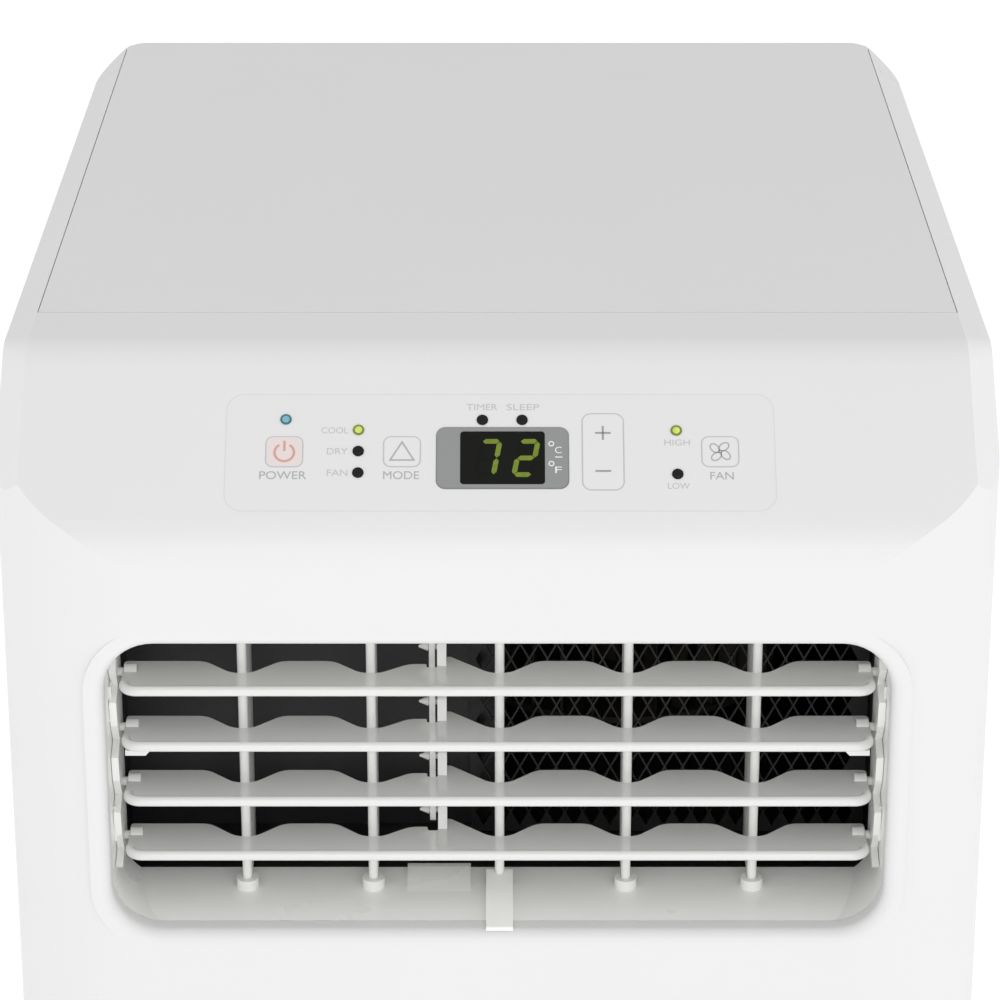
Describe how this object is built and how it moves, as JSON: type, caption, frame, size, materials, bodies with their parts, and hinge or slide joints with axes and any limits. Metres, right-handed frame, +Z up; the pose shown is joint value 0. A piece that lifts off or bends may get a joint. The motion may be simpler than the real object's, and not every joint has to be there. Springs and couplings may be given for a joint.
{
  "type": "portable air conditioner",
  "caption": "Free-standing white air conditioner on swivel casters, with a louvred front outlet, a sloping control face with a number display, and a rear hose collar.",
  "frame": {"origin": "centre of the footprint, on the floor under the casters", "axes": "+Z up, the outlet and the control face towards -Y, +X to the right seen from the front"},
  "size_m": [0.335, 0.425, 0.7],
  "materials": {
    "shell_white": "satin moulded plastic",
    "louver_white": "glossy moulded plastic",
    "duct_black": "matt moulded plastic",
    "fan_black": "matt moulded plastic",
    "motor_grey": "enamelled steel can",
    "insulation_grey": "matt foamed plastic",
    "overlay_white": "fine matt film",
    "bezel_grey": "matt printed film",
    "window_black": "polished dark acrylic",
    "display_green": "lit segments",
    "lamp_lens": "polished lens",
    "board_green": "solder mask",
    "switch_black": "matt moulded plastic",
    "coil_aluminium": "bare fins",
    "compressor_black": "black paint",
    "rubber_black": "matt rubber",
    "rubber_grey": "matt rubber",
    "copper": "bare copper tube",
    "zinc_steel": "zinc plated",
    "filter_grey": "moulded frame with fine mesh",
    "caster_grey": "moulded nylon",
    "wheel_grey": "hard tread"
  },
  "bodies": {
    "cabinet": {"top_cover": "shell_white", "front_shell": "shell_white", "rear_panel": "shell_white", "base_pan": "shell_white", "outlet_frame": "louver_white", "louver_brackets": "louver_white", "outlet_duct": "duct_black", "outlet_mesh": "duct_black", "blower_scroll": "duct_black", "blower_motor": "motor_grey", "exhaust_motor": "motor_grey", "exhaust_scroll": "insulation_grey", "overlay_plate": "overlay_white", "display_bezel": "bezel_grey", "display_window": "window_black", "display_module": "display_green", "indicator_leds": "lamp_lens", "control_pcb": "board_green", "tact_switches": "switch_black", "evaporator_coil": "coil_aluminium", "condenser_coil": "coil_aluminium", "drain_tray": "insulation_grey", "compressor": "compressor_black", "compressor_grommets": "rubber_black", "refrigerant_lines": "copper", "electrical_box": "zinc_steel", "upper_grille": "shell_white", "exhaust_collar": "shell_white", "cord_inlet": "switch_black", "cabinet_screws": "zinc_steel", "handle_left": "shell_white", "handle_right": "shell_white"},
    "louver_blade_1": {"louver_blade_1": "louver_white"},
    "louver_blade_2": {"louver_blade_2": "louver_white"},
    "louver_blade_3": {"louver_blade_3": "louver_white"},
    "louver_blade_4": {"louver_blade_4": "louver_white"},
    "louver_link": {"louver_link": "louver_white"},
    "vane_1": {"vane_1": "louver_white"},
    "vane_2": {"vane_2": "louver_white"},
    "vane_3": {"vane_3": "louver_white"},
    "vane_4": {"vane_4": "louver_white"},
    "vane_5": {"vane_5": "louver_white"},
    "vane_link": {"vane_link": "louver_white"},
    "power_key": {"power_key": "overlay_white"},
    "mode_key": {"mode_key": "overlay_white"},
    "fan_key": {"fan_key": "overlay_white"},
    "temp_rocker": {"temp_rocker": "overlay_white"},
    "filter_cassette": {"filter_cassette": "filter_grey"},
    "blower_wheel": {"blower_wheel": "fan_black"},
    "exhaust_wheel": {"exhaust_wheel": "fan_black"},
    "drain_plug_upper": {"drain_plug_upper": "rubber_grey"},
    "drain_plug_lower": {"drain_plug_lower": "rubber_grey"},
    "caster_fork_front_left": {"caster_fork_front_left": "caster_grey"},
    "caster_fork_front_right": {"caster_fork_front_right": "caster_grey"},
    "caster_fork_rear_left": {"caster_fork_rear_left": "caster_grey"},
    "caster_fork_rear_right": {"caster_fork_rear_right": "caster_grey"},
    "caster_wheel_front_left": {"caster_wheel_front_left": "wheel_grey"},
    "caster_wheel_front_right": {"caster_wheel_front_right": "wheel_grey"},
    "caster_wheel_rear_left": {"caster_wheel_rear_left": "wheel_grey"},
    "caster_wheel_rear_right": {"caster_wheel_rear_right": "wheel_grey"}
  },
  "joints": [
    {"name": "louver_tilt_1", "type": "hinge", "parent": "cabinet", "child": "louver_blade_1", "pos_m": [0, -0.1835, 0.5923], "axis": [1, 0, 0], "range_deg": [-25, 25]},
    {"name": "louver_tilt_2", "type": "hinge", "parent": "cabinet", "child": "louver_blade_2", "pos_m": [0, -0.1835, 0.5717], "axis": [1, 0, 0], "range_deg": [-25, 25]},
    {"name": "louver_tilt_3", "type": "hinge", "parent": "cabinet", "child": "louver_blade_3", "pos_m": [0, -0.1835, 0.5511], "axis": [1, 0, 0], "range_deg": [-25, 25]},
    {"name": "louver_tilt_4", "type": "hinge", "parent": "cabinet", "child": "louver_blade_4", "pos_m": [0, -0.1835, 0.5305], "axis": [1, 0, 0], "range_deg": [-25, 25]},
    {"name": "louver_link_pivot", "type": "hinge", "parent": "louver_blade_1", "child": "louver_link", "pos_m": [-0.0222, -0.176, 0.5983], "axis": [1, 0, 0], "range_deg": [-25, 25]},
    {"name": "vane_swing_1", "type": "hinge", "parent": "cabinet", "child": "vane_1", "pos_m": [-0.0863, -0.1825, 0.56], "axis": [0, 0, 1], "range_deg": [-30, 30]},
    {"name": "vane_swing_2", "type": "hinge", "parent": "cabinet", "child": "vane_2", "pos_m": [-0.0428, -0.1825, 0.56], "axis": [0, 0, 1], "range_deg": [-30, 30]},
    {"name": "vane_swing_3", "type": "hinge", "parent": "cabinet", "child": "vane_3", "pos_m": [0.0007, -0.1825, 0.56], "axis": [0, 0, 1], "range_deg": [-30, 30]},
    {"name": "vane_swing_4", "type": "hinge", "parent": "cabinet", "child": "vane_4", "pos_m": [0.0442, -0.1825, 0.56], "axis": [0, 0, 1], "range_deg": [-30, 30]},
    {"name": "vane_swing_5", "type": "hinge", "parent": "cabinet", "child": "vane_5", "pos_m": [0.0877, -0.1825, 0.56], "axis": [0, 0, 1], "range_deg": [-30, 30]},
    {"name": "vane_link_pivot", "type": "hinge", "parent": "vane_1", "child": "vane_link", "pos_m": [-0.0863, -0.1605, 0.6125], "axis": [0, 0, 1], "range_deg": [-30, 30]},
    {"name": "power_press", "type": "slide", "parent": "cabinet", "child": "power_key", "axis": [0, 0.6595, -0.7517], "range_m": [0, 0.0006], "stiffness_N_per_m": 600, "springref_m": -0.0005},
    {"name": "mode_press", "type": "slide", "parent": "cabinet", "child": "mode_key", "axis": [0, 0.6595, -0.7517], "range_m": [0, 0.0006], "stiffness_N_per_m": 600, "springref_m": -0.0005},
    {"name": "fan_press", "type": "slide", "parent": "cabinet", "child": "fan_key", "axis": [0, 0.6595, -0.7517], "range_m": [0, 0.0006], "stiffness_N_per_m": 600, "springref_m": -0.0005},
    {"name": "temp_rock", "type": "hinge", "parent": "cabinet", "child": "temp_rocker", "pos_m": [0.0347, -0.18405, 0.67037], "axis": [1, 0, 0], "range_deg": [-2.5, 2.5], "stiffness_Nm_per_rad": 0.05},
    {"name": "filter_slide", "type": "slide", "parent": "cabinet", "child": "filter_cassette", "axis": [1, 0, 0], "range_m": [0, 0.26]},
    {"name": "blower_spin", "type": "hinge", "parent": "cabinet", "child": "blower_wheel", "pos_m": [0.046, -0.005, 0.555], "axis": [0, 0, 1], "continuous": true},
    {"name": "exhaust_spin", "type": "hinge", "parent": "cabinet", "child": "exhaust_wheel", "pos_m": [0.015, 0.085, 0.185], "axis": [0, 1, 0], "continuous": true},
    {"name": "drain_plug_upper_pull", "type": "slide", "parent": "cabinet", "child": "drain_plug_upper", "axis": [0, 1, 0], "range_m": [0, 0.03]},
    {"name": "drain_plug_lower_pull", "type": "slide", "parent": "cabinet", "child": "drain_plug_lower", "axis": [0, 1, 0], "range_m": [0, 0.03]},
    {"name": "caster_swivel_front_left", "type": "hinge", "parent": "cabinet", "child": "caster_fork_front_left", "pos_m": [-0.122, -0.158, 0.04], "axis": [0, 0, 1], "continuous": true},
    {"name": "caster_roll_front_left", "type": "hinge", "parent": "caster_fork_front_left", "child": "caster_wheel_front_left", "pos_m": [-0.122, -0.14, 0.019], "axis": [1, 0, 0], "continuous": true},
    {"name": "caster_swivel_front_right", "type": "hinge", "parent": "cabinet", "child": "caster_fork_front_right", "pos_m": [0.122, -0.158, 0.04], "axis": [0, 0, 1], "continuous": true},
    {"name": "caster_roll_front_right", "type": "hinge", "parent": "caster_fork_front_right", "child": "caster_wheel_front_right", "pos_m": [0.122, -0.14, 0.019], "axis": [1, 0, 0], "continuous": true},
    {"name": "caster_swivel_rear_left", "type": "hinge", "parent": "cabinet", "child": "caster_fork_rear_left", "pos_m": [-0.122, 0.158, 0.04], "axis": [0, 0, 1], "continuous": true},
    {"name": "caster_roll_rear_left", "type": "hinge", "parent": "caster_fork_rear_left", "child": "caster_wheel_rear_left", "pos_m": [-0.122, 0.176, 0.019], "axis": [1, 0, 0], "continuous": true},
    {"name": "caster_swivel_rear_right", "type": "hinge", "parent": "cabinet", "child": "caster_fork_rear_right", "pos_m": [0.122, 0.158, 0.04], "axis": [0, 0, 1], "continuous": true},
    {"name": "caster_roll_rear_right", "type": "hinge", "parent": "caster_fork_rear_right", "child": "caster_wheel_rear_right", "pos_m": [0.122, 0.176, 0.019], "axis": [1, 0, 0], "continuous": true}
  ],
  "couplings": [
    {"joint": "louver_tilt_2", "follows": "louver_tilt_1", "ratio": 1},
    {"joint": "louver_tilt_3", "follows": "louver_tilt_1", "ratio": 1},
    {"joint": "louver_tilt_4", "follows": "louver_tilt_1", "ratio": 1},
    {"joint": "louver_link_pivot", "follows": "louver_tilt_1", "ratio": -1},
    {"joint": "vane_swing_2", "follows": "vane_swing_1", "ratio": 1},
    {"joint": "vane_swing_3", "follows": "vane_swing_1", "ratio": 1},
    {"joint": "vane_swing_4", "follows": "vane_swing_1", "ratio": 1},
    {"joint": "vane_swing_5", "follows": "vane_swing_1", "ratio": 1},
    {"joint": "vane_link_pivot", "follows": "vane_swing_1", "ratio": -1}
  ]
}
